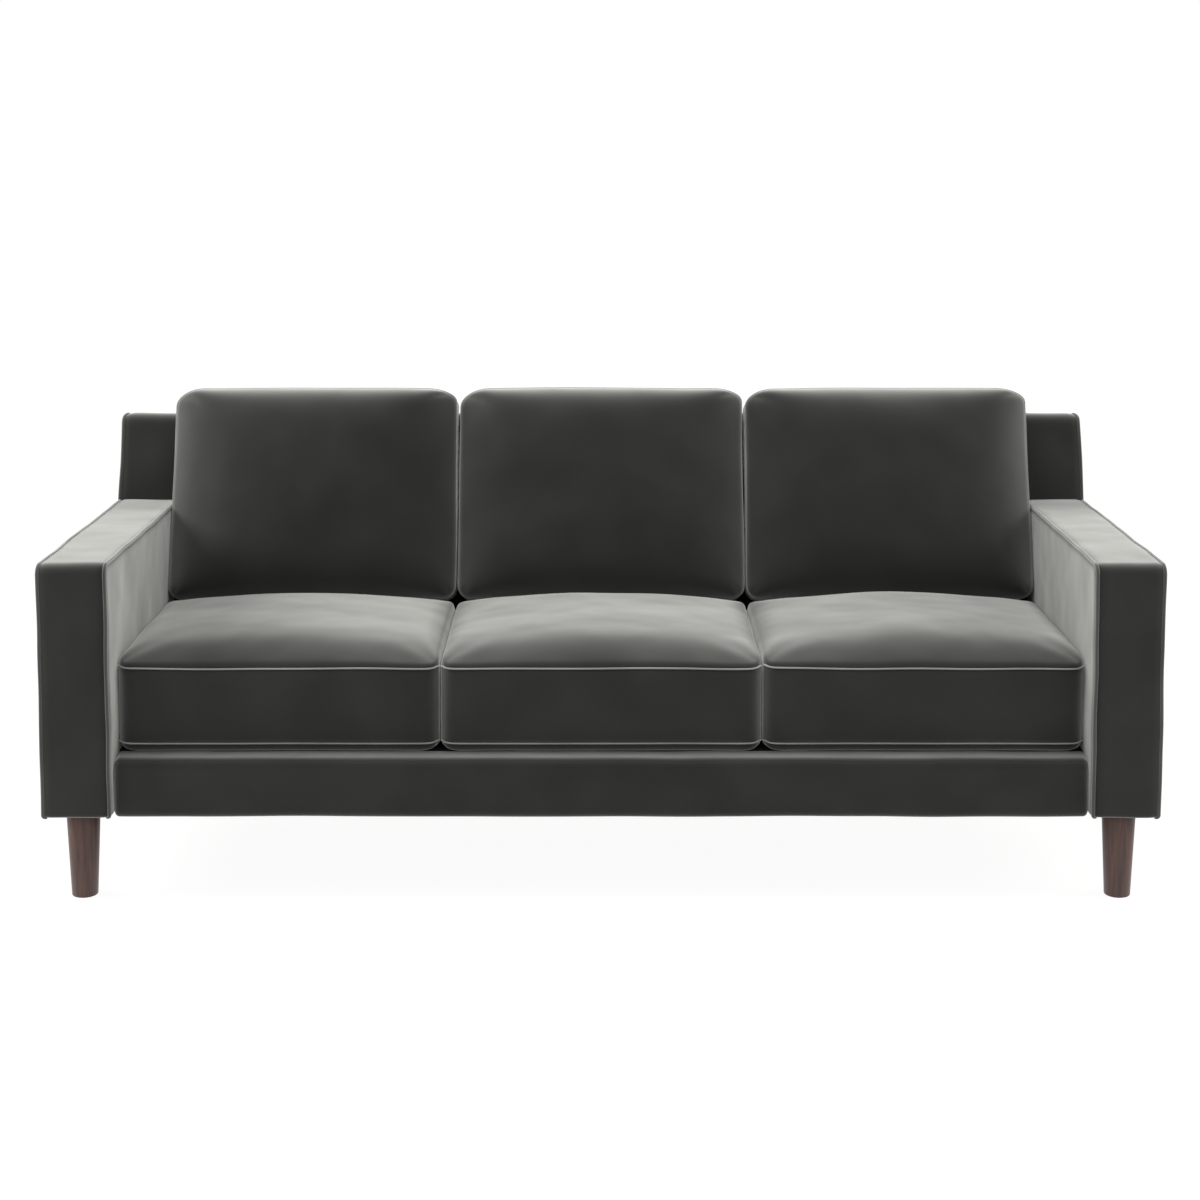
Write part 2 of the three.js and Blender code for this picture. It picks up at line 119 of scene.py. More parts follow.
def new_finish(name):
    """An empty material with its Principled shader and its object coordinates."""
    finish = bpy.data.materials.new(name)
    finish.use_nodes = True
    tree = finish.node_tree
    shader = tree.nodes["Principled BSDF"]
    place = add_node(tree, "ShaderNodeTexCoord").outputs["Object"]
    return finish, tree, shader, place


def two_tones(tree, mask, dark, light, low=0.3, high=0.7):
    """A colour that runs from dark to light as the mask runs from low to high."""
    ramp = add_node(tree, "ShaderNodeValToRGB", [("Fac", mask)])
    ends = ramp.color_ramp.elements
    ends[0].position, ends[0].color = low, linear(dark)
    ends[1].position, ends[1].color = high, linear(light)
    return ramp.outputs["Color"]


# %% [markdown]
# Velvet is a woven cloth with a cut pile of about a millimetre. Seen along its fibres it
# swallows light and looks nearly black; seen across them, at a grazing angle, the fibre sides
# catch the light and it turns silvery. The sheen layer of the shader does just that. The pile
# never stands quite even, so a soft bump a hand wide leans it this way and that, and a fine one
# gives the nap.

# %% Velvet, dark grey, short cut pile
PATCH = 90 * MM
STROKE = 45 * MM
PILE = 1.6 * MM  # real pile is 0.3 mm thick; drawn coarser so that it shows


def make_velvet(name, dark, light):
    finish, tree, shader, place = new_finish(name)
    patches = add_node(
        tree, "ShaderNodeTexNoise", [("Vector", place)], [("Scale", 1 / PATCH), ("Detail", 0.5)]
    )
    strokes = add_node(
        tree, "ShaderNodeTexNoise", [("Vector", place)], [("Scale", 1 / STROKE), ("Detail", 0.5)]
    )
    pile = add_node(
        tree, "ShaderNodeTexNoise", [("Vector", place)], [("Scale", 1 / PILE), ("Detail", 2.0)]
    )
    tone = two_tones(tree, patches.outputs["Fac"], dark, light)
    tree.links.new(tone, shader.inputs["Base Color"])
    lean = add_node(
        tree,
        "ShaderNodeBump",
        [("Height", patches.outputs["Fac"])],
        [("Strength", 0.5), ("Distance", 8 * MM)],
    )
    brushed = add_node(
        tree,
        "ShaderNodeBump",
        [("Height", strokes.outputs["Fac"]), ("Normal", lean.outputs["Normal"])],
        [("Strength", 0.2), ("Distance", 2 * MM)],
    )
    nap = add_node(
        tree,
        "ShaderNodeBump",
        [("Height", pile.outputs["Fac"]), ("Normal", brushed.outputs["Normal"])],
        [("Strength", 0.25), ("Distance", 0.3 * MM)],
    )
    tree.links.new(nap.outputs["Normal"], shader.inputs["Normal"])
    shader.inputs["Roughness"].default_value = 0.9
    shader.inputs["Specular IOR Level"].default_value = 0.1
    shader.inputs["Sheen Weight"].default_value = 1.0
    shader.inputs["Sheen Roughness"].default_value = 0.5
    shader.inputs["Sheen Tint"].default_value = linear("FFFFF9")
    return finish


velvet = make_velvet("velvet_dark_grey", "0F100E", "1A1B19")
# The cords' velvet is painted paler, a painted highlight for the bright line along a welt; the thin cushion cords
# are painted paler still.
painted_highlight_cords = make_velvet("velvet_painted_highlight_cord", "3A3B39", "434442")
painted_highlight_thin_cords = make_velvet("velvet_painted_highlight_thin_cord", "7E7F7C", "8C8D8A")
print("velvet: pile drawn", PILE / MM, "mm wide, patches", round(PATCH / MM), "mm wide")

# %% [markdown]
# The legs are turned walnut with a thin satin lacquer: reddish brown, with dark grain lines
# that run down the leg. A noise stretched along Z draws those lines.

# %% Wood, steel, foam and lining
GRAIN = 5 * MM
GRAIN_LENGTH = 120 * MM


def make_wood(name, dark, light, roughness, grain, grain_length, coat):
    finish, tree, shader, place = new_finish(name)
    stretched = add_node(
        tree,
        "ShaderNodeMapping",
        [("Vector", place)],
        [("Scale", (1 / grain, 1 / grain, 1 / grain_length))],
    )
    lines = add_node(
        tree,
        "ShaderNodeTexNoise",
        [("Vector", stretched.outputs["Vector"])],
        [("Scale", 1.0), ("Detail", 4.0), ("Distortion", 0.4)],
    )
    tone = two_tones(tree, lines.outputs["Fac"], dark, light, 0.34, 0.66)
    tree.links.new(tone, shader.inputs["Base Color"])
    relief = add_node(
        tree,
        "ShaderNodeBump",
        [("Height", lines.outputs["Fac"])],
        [("Strength", 0.15), ("Distance", 0.2 * MM)],
    )
    tree.links.new(relief.outputs["Normal"], shader.inputs["Normal"])
    shader.inputs["Roughness"].default_value = roughness
    shader.inputs["Coat Weight"].default_value = coat
    shader.inputs["Coat Roughness"].default_value = 0.3
    return finish


def make_plain(name, dark, light, grain, roughness, metallic=0.0):
    finish, tree, shader, place = new_finish(name)
    specks = add_node(
        tree, "ShaderNodeTexNoise", [("Vector", place)], [("Scale", 1 / grain), ("Detail", 3.0)]
    )
    tone = two_tones(tree, specks.outputs["Fac"], dark, light)
    tree.links.new(tone, shader.inputs["Base Color"])
    relief = add_node(
        tree,
        "ShaderNodeBump",
        [("Height", specks.outputs["Fac"])],
        [("Strength", 0.2), ("Distance", 0.2 * MM)],
    )
    tree.links.new(relief.outputs["Normal"], shader.inputs["Normal"])
    shader.inputs["Roughness"].default_value = roughness
    shader.inputs["Metallic"].default_value = metallic
    return finish


walnut = make_wood("walnut_satin", "382019", "57352A", 0.45, GRAIN, GRAIN_LENGTH, 0.25)
# Sawn pine is pale and dry, with wide straight grain and no gloss.
pine = make_wood("pine_sawn", "B98F5A", "DCC08E", 0.8, 5 * MM, 300 * MM, 0.0)
# Zinc plate shows a faint cloud of crystals; drawn wire is darker, from its oil.
zinc_steel = make_plain("steel_zinc_plated", "7E8286", "A3A6A8", 4 * MM, 0.4, 1.0)
spring_steel = make_plain("steel_spring_wire", "2E2E30", "48484A", 3 * MM, 0.45, 1.0)
# Cut foam has open cells a millimetre wide, and spunbond lining a pressed felt of fibres.
foam = make_plain("foam_cut", "D9CFAE", "EFE8D2", 1.5 * MM, 0.95)
lining = make_plain("lining_spunbond", "161617", "222224", 1.2 * MM, 0.9)

SLOT_FINISHES = {
    "velvet": velvet,
    "walnut": walnut,
    "pine": pine,
    "zinc_steel": zinc_steel,
    "spring_steel": spring_steel,
    "foam": foam,
    "deck_cloth": lining,
}
for part in frame["record"]["subparts"]:
    node = frame["nodes"][part["node"]]
    node.data.materials.clear()
    node.data.materials.append(SLOT_FINISHES[part["material_slot"]])
print(len(frame["nodes"]), "nodes have a finish")

# %% [markdown]
# A photograph of furniture is taken from a little above, with a long lens and the film plane
# kept nearly upright, so that the arms stay parallel. Lens shift does most of that here, and a
# few degrees of tilt keep the shift small.

# %% Camera
camera_data = bpy.data.cameras.new("camera")
camera_data.lens = 63.83
camera_data.sensor_width = 36
camera_data.shift_x = -0.0009
camera_data.shift_y = -0.235
camera = bpy.data.objects.new("camera", camera_data)
camera.location = (0, FRONT - 3.6083, 1.3572)
camera.rotation_euler = (math.radians(90 - 5.189), 0, 0)
scene.collection.objects.link(camera)
scene.camera = camera
print("camera", camera_data.lens, "mm, shifted", camera_data.shift_y, "of the width")

# %% [markdown]
# The studio is an even white room: a bright world, a broad lamp from the upper left, a weaker
# one from the right, one above for the seats and a faint one behind for the upper edges. The
# floor and the room behind it look white to the camera.

# %% Studio light, floor and world
world = bpy.data.worlds.new("studio")
scene.world = world
world.use_nodes = True
sky = world.node_tree.nodes["Background"]
sky.inputs["Color"].default_value = (1, 1, 1, 1)


def background_rays(tree):
    """1 for the rays that show the background: seen directly, in a mirror or through glass."""
    path = add_node(tree, "ShaderNodeLightPath")
    rays = path.outputs["Is Camera Ray"]
    for kind in ("Is Glossy Ray", "Is Transmission Ray"):
        links = [(0, rays), (1, path.outputs[kind])]
        rays = add_node(tree, "ShaderNodeMath", links, operation="MAXIMUM").outputs["Value"]
    return rays


ROOM_LIGHT = 0.6
brightness = add_node(
    world.node_tree,
    "ShaderNodeMix",
    [("Factor", background_rays(world.node_tree))],
    [("A", ROOM_LIGHT), ("B", 1.0)],
    data_type="FLOAT",
)
world.node_tree.links.new(brightness.outputs["Result"], sky.inputs["Strength"])


def add_lamp(name, location, aim, width, height, power):
    """A rectangular lamp at a place, facing another."""
    data = bpy.data.lights.new(name, "AREA")
    data.shape = "RECTANGLE"
    data.size, data.size_y = width, height
    data.energy = power
    lamp = bpy.data.objects.new(name, data)
    lamp.location = location
    way = Vector(aim) - Vector(location)
    lamp.rotation_euler = way.to_track_quat("-Z", "Y").to_euler()
    scene.collection.objects.link(lamp)


add_lamp("lamp_left", (-4.5, 0.4, 2.9), (0.3, 0, 0.45), 2.5, 2.0, 175)
add_lamp("lamp_right", (4.5, 0.4, 2.9), (-0.3, 0, 0.45), 2.5, 2.0, 96)
add_lamp("lamp_behind", (0, 2.4, 3.6), (0, 0, 0.45), 3.0, 1.5, 20)
add_lamp("lamp_above", (0, -0.8, 3.8), (0, 0, 0.45), 3.0, 1.5, 48)

bm = bmesh.new()
bmesh.ops.create_grid(bm, x_segments=1, y_segments=1, size=9)
floor_mesh = bpy.data.meshes.new("floor")
bm.to_mesh(floor_mesh)
bm.free()
floor = bpy.data.objects.new("floor", floor_mesh)
scene.collection.objects.link(floor)
floor_finish, tree, shader, place = new_finish("floor_white")
shader.inputs["Base Color"].default_value = linear("F2F2F0")
shader.inputs["Roughness"].default_value = 0.9
output = tree.nodes["Material Output"]
lit = add_node(tree, "ShaderNodeEmission", values=[("Strength", 1.1)])
seen = add_node(
    tree,
    "ShaderNodeMath",
    [(0, background_rays(tree))],
    [(1, 0.85)],
    operation="MULTIPLY",
)
mixed = add_node(
    tree,
    "ShaderNodeMixShader",
    [("Fac", seen.outputs["Value"]), (1, shader.outputs["BSDF"]), (2, lit.outputs["Emission"])],
)
tree.links.new(mixed.outputs["Shader"], output.inputs["Surface"])
floor_mesh.materials.append(floor_finish)

# %% [markdown]
# Every padded block starts the same way: a cube cut into cells. The cube keeps its corners at
# plus and minus one, so each point says by itself on which face it lies, and one function for
# each piece then moves the points to their real place.

# %% Blocks of cells
def cell_block(columns, rows, levels):
    """A cube of two units with that many cells along X, Y and Z."""
    bm = bmesh.new()
    bmesh.ops.create_cube(bm, size=2)
    for axis, cells in enumerate((columns, rows, levels)):
        along = [e for e in bm.edges if abs((e.verts[1].co - e.verts[0].co)[axis]) > 1]
        bmesh.ops.subdivide_edges(bm, edges=along, cuts=cells - 1, use_grid_fill=True)
    return bm


def to_ends(unit):
    """Moves evenly spaced cell lines closer to the two ends, where an edge needs them."""
    return math.sin(unit * math.pi / 2)


def pulled(distance, reach):
    """1 at a seam, falling to 0 at its reach: how far the stitching pulls the cloth in."""
    return max(0.0, 1 - distance / reach) ** 2


def quarter(distance, radius):
    """How far a round edge has dropped at a distance from where it ends."""
    left = max(0.0, radius - distance)
    return radius - math.sqrt(radius * radius - left * left)


def round_corner(a, b, half_a, half_b, reach_a, reach_b):
    """A point near the square corner of a plan moved onto a corner that is part of an ellipse."""
    past_a, past_b = (abs(a) - half_a) / reach_a + 1, (abs(b) - half_b) / reach_b + 1
    if past_a <= 0 or past_b <= 0:
        return a, b
    shrink = max(past_a, past_b) / math.hypot(past_a, past_b)
    return (
        math.copysign(half_a + (past_a * shrink - 1) * reach_a, a),
        math.copysign(half_b + (past_b * shrink - 1) * reach_b, b),
    )


def uneven(place, wave, height, seed):
    """A smooth wandering offset: how far hand-pulled cloth strays from its true place."""
    return noise.noise_vector(place / wave + Vector((seed, 2 * seed, 3 * seed))) * height


def finish_piece(name, mesh, body, stands_for=(), finish=velvet):
    """Links a mesh as a smooth piece that moves with its body and takes over its CAD nodes."""
    for polygon in mesh.polygons:
        polygon.use_smooth = True
    mesh.materials.append(finish)
    piece = bpy.data.objects.new(name, mesh)
    scene.collection.objects.link(piece)
    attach(piece, body)
    if stands_for:
        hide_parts(*stands_for)
    return piece


def mesh_from(bm, name):
    """The finished mesh of a bmesh, its doubles merged and its faces turned outwards."""
    bmesh.ops.remove_doubles(bm, verts=bm.verts, dist=0.01 * MM)
    bmesh.ops.recalc_face_normals(bm, faces=bm.faces)
    mesh = bpy.data.meshes.new(name)
    bm.to_mesh(mesh)
    bm.free()
    return mesh


# %% [markdown]
# A welt is a cord sewn into the seam inside a strip of the same cloth. It hides the cut edges,
# and it is what draws the thin bright line round every cushion. Its velvet is painted paler
# than the rest, a painted highlight for that line, and a cushion's thin cord paler still. A curve
# with a round bevel makes it.

# %% Welts
ARM_WELT = 3.6 * MM
CUSHION_WELT = 1.5 * MM


# By default a welt takes the paler cord velvet, a painted highlight.
def add_welt(name, places, radius, body, finish=painted_highlight_cords, closed=False):
    """A cord of cloth along a row of places."""
    data = bpy.data.curves.new(name, "CURVE")
    data.dimensions = "3D"
    data.bevel_depth = radius
    data.bevel_resolution = 2
    data.use_fill_caps = True
    spline = data.splines.new("POLY")
    spline.points.add(len(places) - 1)
    for point, place in zip(spline.points, places):
        point.co = (*place, 1)
    spline.use_cyclic_u = closed
    drawn = bpy.data.objects.new(name, data)
    scene.collection.objects.link(drawn)
    evaluated = drawn.evaluated_get(bpy.context.evaluated_depsgraph_get())
    mesh = bpy.data.meshes.new_from_object(evaluated)
    bpy.data.objects.remove(drawn)
    mesh.name = name
    mesh.materials.clear()
    return finish_piece(name, mesh, body, finish=finish)


# %% [markdown]
# An arm is a board box under wadding and velvet. One strip of cloth runs up the front and over
# the top, and a welt joins it to the inner and the outer side. Between the seams the padding
# lifts the cloth; at the seams the stitching holds it down, so each welt lies in a valley.

# %% Arms
SEAM_DEPTH = 3.4 * MM
SEAM_REACH = 15 * MM
ARM_ROUND = 20 * MM
HEM_ROUND = 5 * MM
ARM_GAP = 0.5 * MM
ARM_WANDER = 1.7 * MM
ARM_WAVE = 90 * MM
WADDING = 4 * MM
ARM_CROWN = ARM_TOP + WADDING
arm_half = (arm_high.x - arm_low.x) / 2


def arm_place(unit, middle, seed):
    """Where a point of the cell block lies on the arm."""
    across, along, up = (to_ends(v) for v in unit)
    x = across * (arm_half - SEAM_DEPTH)
    on_side = abs(unit.x) > 0.999
    depth = SEAM_DEPTH * (1 if on_side else pulled(arm_half - SEAM_DEPTH - abs(x), SEAM_REACH))
    z = UNDERSIDE + (up + 1) / 2 * (ARM_CROWN - depth - UNDERSIDE)
    hem = quarter(z - UNDERSIDE, HEM_ROUND)
    front, rear = FRONT + depth + hem, back_plane(z) - ARM_GAP
    y = front + (along + 1) / 2 * (rear - front)
    past_y, past_z = FRONT + ARM_ROUND - y, z - (ARM_CROWN - ARM_ROUND)
    inwards = min(y - front, ARM_CROWN - depth - z)
    if past_y > 0 and past_z > 0:
        shrink = max(past_y, past_z) / math.hypot(past_y, past_z)
        y = FRONT + ARM_ROUND - past_y * shrink
        z = ARM_CROWN - ARM_ROUND + past_z * shrink
        inwards = ARM_ROUND - depth - max(past_y, past_z)
    if on_side:
        x += math.copysign(SEAM_DEPTH * (1 - pulled(inwards, SEAM_REACH)), x)
    x *= 1 - hem / arm_half
    place = Vector((middle + x, y, z))
    return place + uneven(place, ARM_WAVE, ARM_WANDER, seed)


def arm_seam(side, middle, seed):
    """The seam along one side of the arm: up the front edge and back along the top."""
    ups = [Vector((side, -1, -1 + 2 * i / 90)) for i in range(90)]
    backs = [Vector((side, -1 + 2 * i / 120, 1)) for i in range(121)]
    return [arm_place(unit, middle, seed) for unit in ups + backs]


for side, sign in zip(SIDES, (-1, 1)):
    middle = sign * (HALF_WIDTH + HALF_INSIDE) / 2
    seed = 4 + sign
    bm = cell_block(22, 60, 50)
    for vert in bm.verts:
        vert.co = arm_place(vert.co.copy(), middle, seed)
    finish_piece(f"arm_upholstery_{side}", mesh_from(bm, "arm"), "frame", [f"arm_cover_{side}"])
    for edge in (-1, 1):
        where = "outer" if edge == sign else "inner"
        name = f"arm_welt_{where}_{side}"
        add_welt(name, arm_seam(edge, middle, seed), ARM_WELT, "frame")
    print(side, "arm", round(2 * arm_half / MM), "mm wide, top at", round(ARM_CROWN / MM), "mm")

# %% [markdown]
# The back is one raked slab across the whole width. It is shaped as an upright box in raked
# coordinates, with its foot cut level with the floor. One strip of cloth runs up the front,
# over the top and down the rear, and a welt joins it to each end.

# %% Back slab and its welts
slab_high = raked_box("back_cover")[1]
SLAB_FRONT = (to_raked @ Vector((0, BACK_FOOT, UNDERSIDE))).y
SLAB_HALF = (slab_high.y - SLAB_FRONT) / 2
SLAB_TOP = slab_high.z + WADDING
SLAB_ROUND = 26 * MM
SLAB_CORNER = 15 * MM
SLAB_WANDER = 1.6 * MM


def slab_foot(depth):
    """Raked height of the slab's level foot at a raked depth."""
    return (UNDERSIDE + depth * math.sin(RAKE)) / math.cos(RAKE)


def slab_place(unit, seed=9):
    """Where a point of the cell block lies on the slab."""
    across, through, up = (to_ends(v) for v in unit)
    x = across * (HALF_WIDTH - SEAM_DEPTH)
    on_end = abs(unit.x) > 0.999
    deep = SEAM_DEPTH * (1 if on_end else pulled(HALF_WIDTH - SEAM_DEPTH - abs(x), SEAM_REACH))
    out = through * (SLAB_HALF - deep)
    foot = slab_foot(SLAB_FRONT + SLAB_HALF + out)
    height = foot + (up + 1) / 2 * (SLAB_TOP - deep - foot)
    past, over = abs(out) - (SLAB_HALF - SLAB_ROUND), height - (SLAB_TOP - SLAB_ROUND)
    inwards = min(SLAB_HALF - deep - abs(out), SLAB_TOP - deep - height)
    if past > 0 and over > 0:
        shrink = max(past, over) / math.hypot(past, over)
        out = math.copysign(SLAB_HALF - SLAB_ROUND + past * shrink, out)
        height = SLAB_TOP - SLAB_ROUND + over * shrink
        inwards = SLAB_ROUND - deep - max(past, over)
    if on_end:
        x += math.copysign(SEAM_DEPTH * (1 - pulled(inwards, SEAM_REACH)), x)
    x *= 1 - quarter(SLAB_TOP - height, SLAB_CORNER) / HALF_WIDTH
    place = from_raked @ Vector((x, SLAB_FRONT + SLAB_HALF + out, height))
    return place + uneven(place, ARM_WAVE, SLAB_WANDER, seed)


bm = cell_block(120, 20, 50)
for vert in bm.verts:
    vert.co = slab_place(vert.co.copy())
finish_piece("back_upholstery", mesh_from(bm, "back"), "frame", ["back_cover"])
for side, sign in zip(SIDES, (-1, 1)):
    ups = [Vector((sign, -1, -1 + 2 * i / 90)) for i in range(90)]
    overs = [Vector((sign, -1 + 2 * i / 40, 1)) for i in range(40)]
    downs = [Vector((sign, 1, 1 - 2 * i / 90)) for i in range(91)]
    seam = [slab_place(unit) for unit in ups + overs + downs]
    add_welt(f"back_welt_{side}", seam, ARM_WELT, "frame")
print("back slab", round(2 * SLAB_HALF / MM), "mm thick")

# %% [markdown]
# The front rail is a padded bar with soft edges all round and no welt. It has more wadding
# along its top edge than below.

# %% Front rail
RAIL_ROUND_TOP = 16 * MM
RAIL_ROUND_LOW = 10 * MM
RAIL_ROUND_REAR = 5 * MM
RAIL_WAVE = 120 * MM
RAIL_WANDER = 1.2 * MM


def round_box(place, low, high, radius):
    """A point on a box moved onto the same box with every edge rounded."""
    core = Vector(min(max(place[i], low[i] + radius), high[i] - radius) for i in range(3))
    out = place - core
    return core + out.normalized() * radius if out.length > 0 else place


bm = cell_block(120, 16, 24)
rail_middle = (rail_low + rail_high) / 2
rail_half = (rail_high - rail_low) / 2
for vert in bm.verts:
    spread = Vector(to_ends(v) for v in vert.co)
    place = rail_middle + Vector(spread[i] * rail_half[i] for i in range(3))
    rise = (spread.z + 1) / 2
    radius = RAIL_ROUND_LOW + (RAIL_ROUND_TOP - RAIL_ROUND_LOW) * rise
    radius += (RAIL_ROUND_REAR - radius) * (spread.y + 1) / 2
    place = round_box(place, rail_low, rail_high, radius)
    place += uneven(place, RAIL_WAVE, RAIL_WANDER, 21)
    vert.co = (place.x, place.y, min(place.z, rail_high.z))
finish_piece("rail_upholstery", mesh_from(bm, "rail"), "frame", ["front_rail_cover"])
print("rail", [round(2 * half / MM) for half in rail_half], "mm")

# %% [markdown]
# A leg is turned on a lathe, so it is made like one: its outline is spun round its axis.

# %% Legs
TURNS = 72
EDGE = 2 * MM
for corner in ("front_left", "front_right", "rear_left", "rear_right"):
    node = frame["nodes"][f"leg_{corner}"]
    low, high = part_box(f"leg_{corner}")
    axis = (low + high) / 2
    top_radius = (high.x - low.x) / 2
    foot_radius = max(
        math.hypot(v.co.x - axis.x, v.co.y - axis.y) for v in node.data.vertices if v.co.z < 3 * MM
    )
    outline = [
        (0, low.z),
        (foot_radius - EDGE, low.z),
        (foot_radius - EDGE / 3, low.z + EDGE / 3),
        (foot_radius, low.z + EDGE),
        (top_radius, high.z - EDGE / 4),
        (top_radius - EDGE / 4, high.z),
        (0, high.z),
    ]
    bm = bmesh.new()
    verts = [bm.verts.new((axis.x + radius, axis.y, z)) for radius, z in outline]
    edges = [bm.edges.new(pair) for pair in zip(verts, verts[1:])]
    bmesh.ops.spin(
        bm,
        geom=verts + edges,
        cent=(axis.x, axis.y, 0),
        axis=(0, 0, 1),
        angle=2 * math.pi,
        steps=TURNS,
        use_merge=True,
    )
    leg = mesh_from(bm, "leg")
    finish_piece(f"leg_turned_{corner}", leg, "frame", [f"leg_{corner}"], walnut)
    print(corner, "leg", round((high.z - low.z) / MM), "mm long")

# %% [markdown]
# A cushion is a case of cloth, sewn from an upper panel, a lower panel and a strip between
# them, and stuffed until it stands full. The seams hold their length while the panels swell,
# and a cloth simulation with air pressure inside does the same: the seams are pinned, and the
# pressure makes the crown and the soft pulls near the corners. One seat cushion and one back
# cushion are blown up, and the others are copies that wander in their own way. The stuffing
# inside is the same form once more, a little smaller, and shows where a cover is opened.

# %% Cushion case and its simulation
def near_ends(unit):
    """Cell lines drawn towards the seams, but less than to_ends does, to keep cells even."""
    return 0.35 * unit + 0.65 * math.sin(unit * math.pi / 2)


FRONT_REACH = 60 * MM


def fullness(u, v, case, steeper, at_front, reach, power):
    """0 at the seams and 1 far from them: stuffing rises steeply at a seam, then ever less.

    The sides may rise steeper than the rest, and otherwise near the front, where they end."""
    front = math.exp(-(1 + v) * case["length"] / 2 / FRONT_REACH)
    a = (1 - abs(u)) * case["width"] / 2 * (steeper + (at_front - steeper) * front)
    b = (1 - abs(v)) * case["length"] / 2 * (1 + case["steeper_rear"] * max(0, v))
    if a < 0.01 * MM or b < 0.01 * MM:
        return 0.0
    near = (a**-2 + b**-2) ** -0.5
    return 1 - math.exp(-((near / reach) ** power))


def overhang(unit, half, shoulder):
    """A place across a panel, pushed outwards where the stuffing bulges over the seam."""
    inwards = (1 - abs(unit)) * half
    push = (1 - math.exp(-inwards / (2 * MM))) * math.exp(-inwards / (10 * MM))
    return math.copysign(half - inwards + shoulder * push, unit)


def case_place(unit, case):
    """Where a point of the cell block lies on a case on its back, its lower seam at height 0."""
    u, v, w = near_ends(unit.x), near_ends(unit.y), to_ends(unit.z)
    half_x, half_y = case["width"] / 2, case["length"] / 2
    x, y = u * half_x, v * half_y
    if abs(w) > 0.999:
        x, y = overhang(u, half_x, case["shoulder_x"]), overhang(v, half_y, case["shoulder_y"])
    x, y = round_corner(x, y, half_x, half_y, *case["corners"][2 * (v > 0) + (u > 0)])
    x -= case["draw_x"] * u * (1 - v * v)
    y -= case["draw_y"] * v * (1 - u * u)
    x *= 1 - case["taper"] * (1 + v) / 2 / half_x
    z = case["boxing"] * (w + 1) / 2 + case["lift"] * u**20 * v**6
    if abs(w) < 0.999:
        puff = 1 - w**16
        if abs(unit.x) > 0.999:
            x += math.copysign(case["puff_x"] * puff * (1 - v**8), x)
        if abs(unit.y) > 0.999:
            y += math.copysign(case["puff_y"] * puff * (1 - u**8), y)
    elif w > 0:
        dome = (1 - u**2) * (1 - v**6)
        full = fullness(u, v, case, case["steeper_sides"], case["corner_steeper"], *case["rise"])
        z += (case["crown"] - case["dome"]) * full
        z += case["dome"] * dome
    else:
        low = case["steeper_low"]
        z -= case["belly"] * fullness(u, v, case, low, low, *case["sag"])
    return Vector((x, y, z))


def seam_units(level, per_side=60):
    """Points of the cell block round one of the two seams, in order."""
    steps = [-1 + 2 * i / per_side for i in range(per_side)]
    return (
        [Vector((t, -1, level)) for t in steps]
        + [Vector((1, t, level)) for t in steps]
        + [Vector((-t, 1, level)) for t in steps]
        + [Vector((-1, -t, level)) for t in steps]
    )


def make_case(name, case, cells):
    """The mesh of a case before it is blown up, and the numbers of its seam points."""
    bm = cell_block(*cells)
    units = [vert.co.copy() for vert in bm.verts]
    for vert, unit in zip(bm.verts, units):
        vert.co = case_place(unit, case)
    mesh = bpy.data.meshes.new(name)
    bm.to_mesh(mesh)
    bm.free()
    on_seam = [
        i
        for i, unit in enumerate(units)
        if abs(unit.z) > 0.999 and max(abs(unit.x), abs(unit.y)) > 0.999
    ]
    return mesh, on_seam


PRESSURE = 3.0
SWELL_FRAMES = 20
SWELL_CAP = 3 * MM
SOFTENING = 6


def blow_up(mesh, pinned):
    """Swells a case with air pressure while its seams stay put, and caps how far it moves."""
    piece = bpy.data.objects.new("case", mesh)
    scene.collection.objects.link(piece)
    start = [v.co.copy() for v in mesh.vertices]
    seams = piece.vertex_groups.new(name="seams")
    seams.add(pinned, 1.0, "REPLACE")
    cloth = piece.modifiers.new("cloth", "CLOTH")
    cloth.settings.quality = 6
    cloth.settings.mass = 0.25
    cloth.settings.tension_stiffness = 20
    cloth.settings.compression_stiffness = 12
    cloth.settings.bending_stiffness = 4.0
    cloth.settings.use_pressure = True
    cloth.settings.uniform_pressure_force = PRESSURE
    cloth.settings.vertex_group_mass = "seams"
    cloth.settings.effector_weights.gravity = 0
    for step in range(1, SWELL_FRAMES + 1):
        scene.frame_set(step)
    evaluated = piece.evaluated_get(bpy.context.evaluated_depsgraph_get())
    blown = [v.co.copy() for v in evaluated.to_mesh().vertices]
    evaluated.to_mesh_clear()
    piece.modifiers.remove(cloth)
    bpy.data.objects.remove(piece)
    moves = []
    for before, after in zip(start, blown):
        move = after - before
        moves.append(move * min(1, SWELL_CAP / max(move.length, 0.01 * MM)))
    beside = [[] for _ in start]
    for edge in mesh.edges:
        one, other = edge.vertices
        beside[one].append(other)
        beside[other].append(one)
    held = set(pinned)
    for _ in range(SOFTENING):
        moves = [
            m if i in held else (m + sum((moves[j] for j in near), Vector()) / len(near)) / 2
            for i, (m, near) in enumerate(zip(moves, beside))
        ]
    for vertex, before, move in zip(mesh.vertices, start, moves):
        vertex.co = before + move
    scene.frame_set(1)
    return max((b - a).length for a, b in zip(start, blown))


CORE_SCALE = 0.96


def add_core(name, cover, body, node):
    """The stuffing inside a cushion: the form of its cover, a little smaller."""
    mesh = cover.copy()
    middle = sum((v.co for v in mesh.vertices), Vector()) / len(mesh.vertices)
    for vertex in mesh.vertices:
        vertex.co = middle + CORE_SCALE * (vertex.co - middle)
    return finish_piece(name, mesh, body, [node], foam)


# %% [markdown]
# The seat cushions carry people, so they are firm: a foam block in wadding, a boxing strip
# 135 mm high and a crown of 50 mm that rolls over the front edge in a hand's breadth.

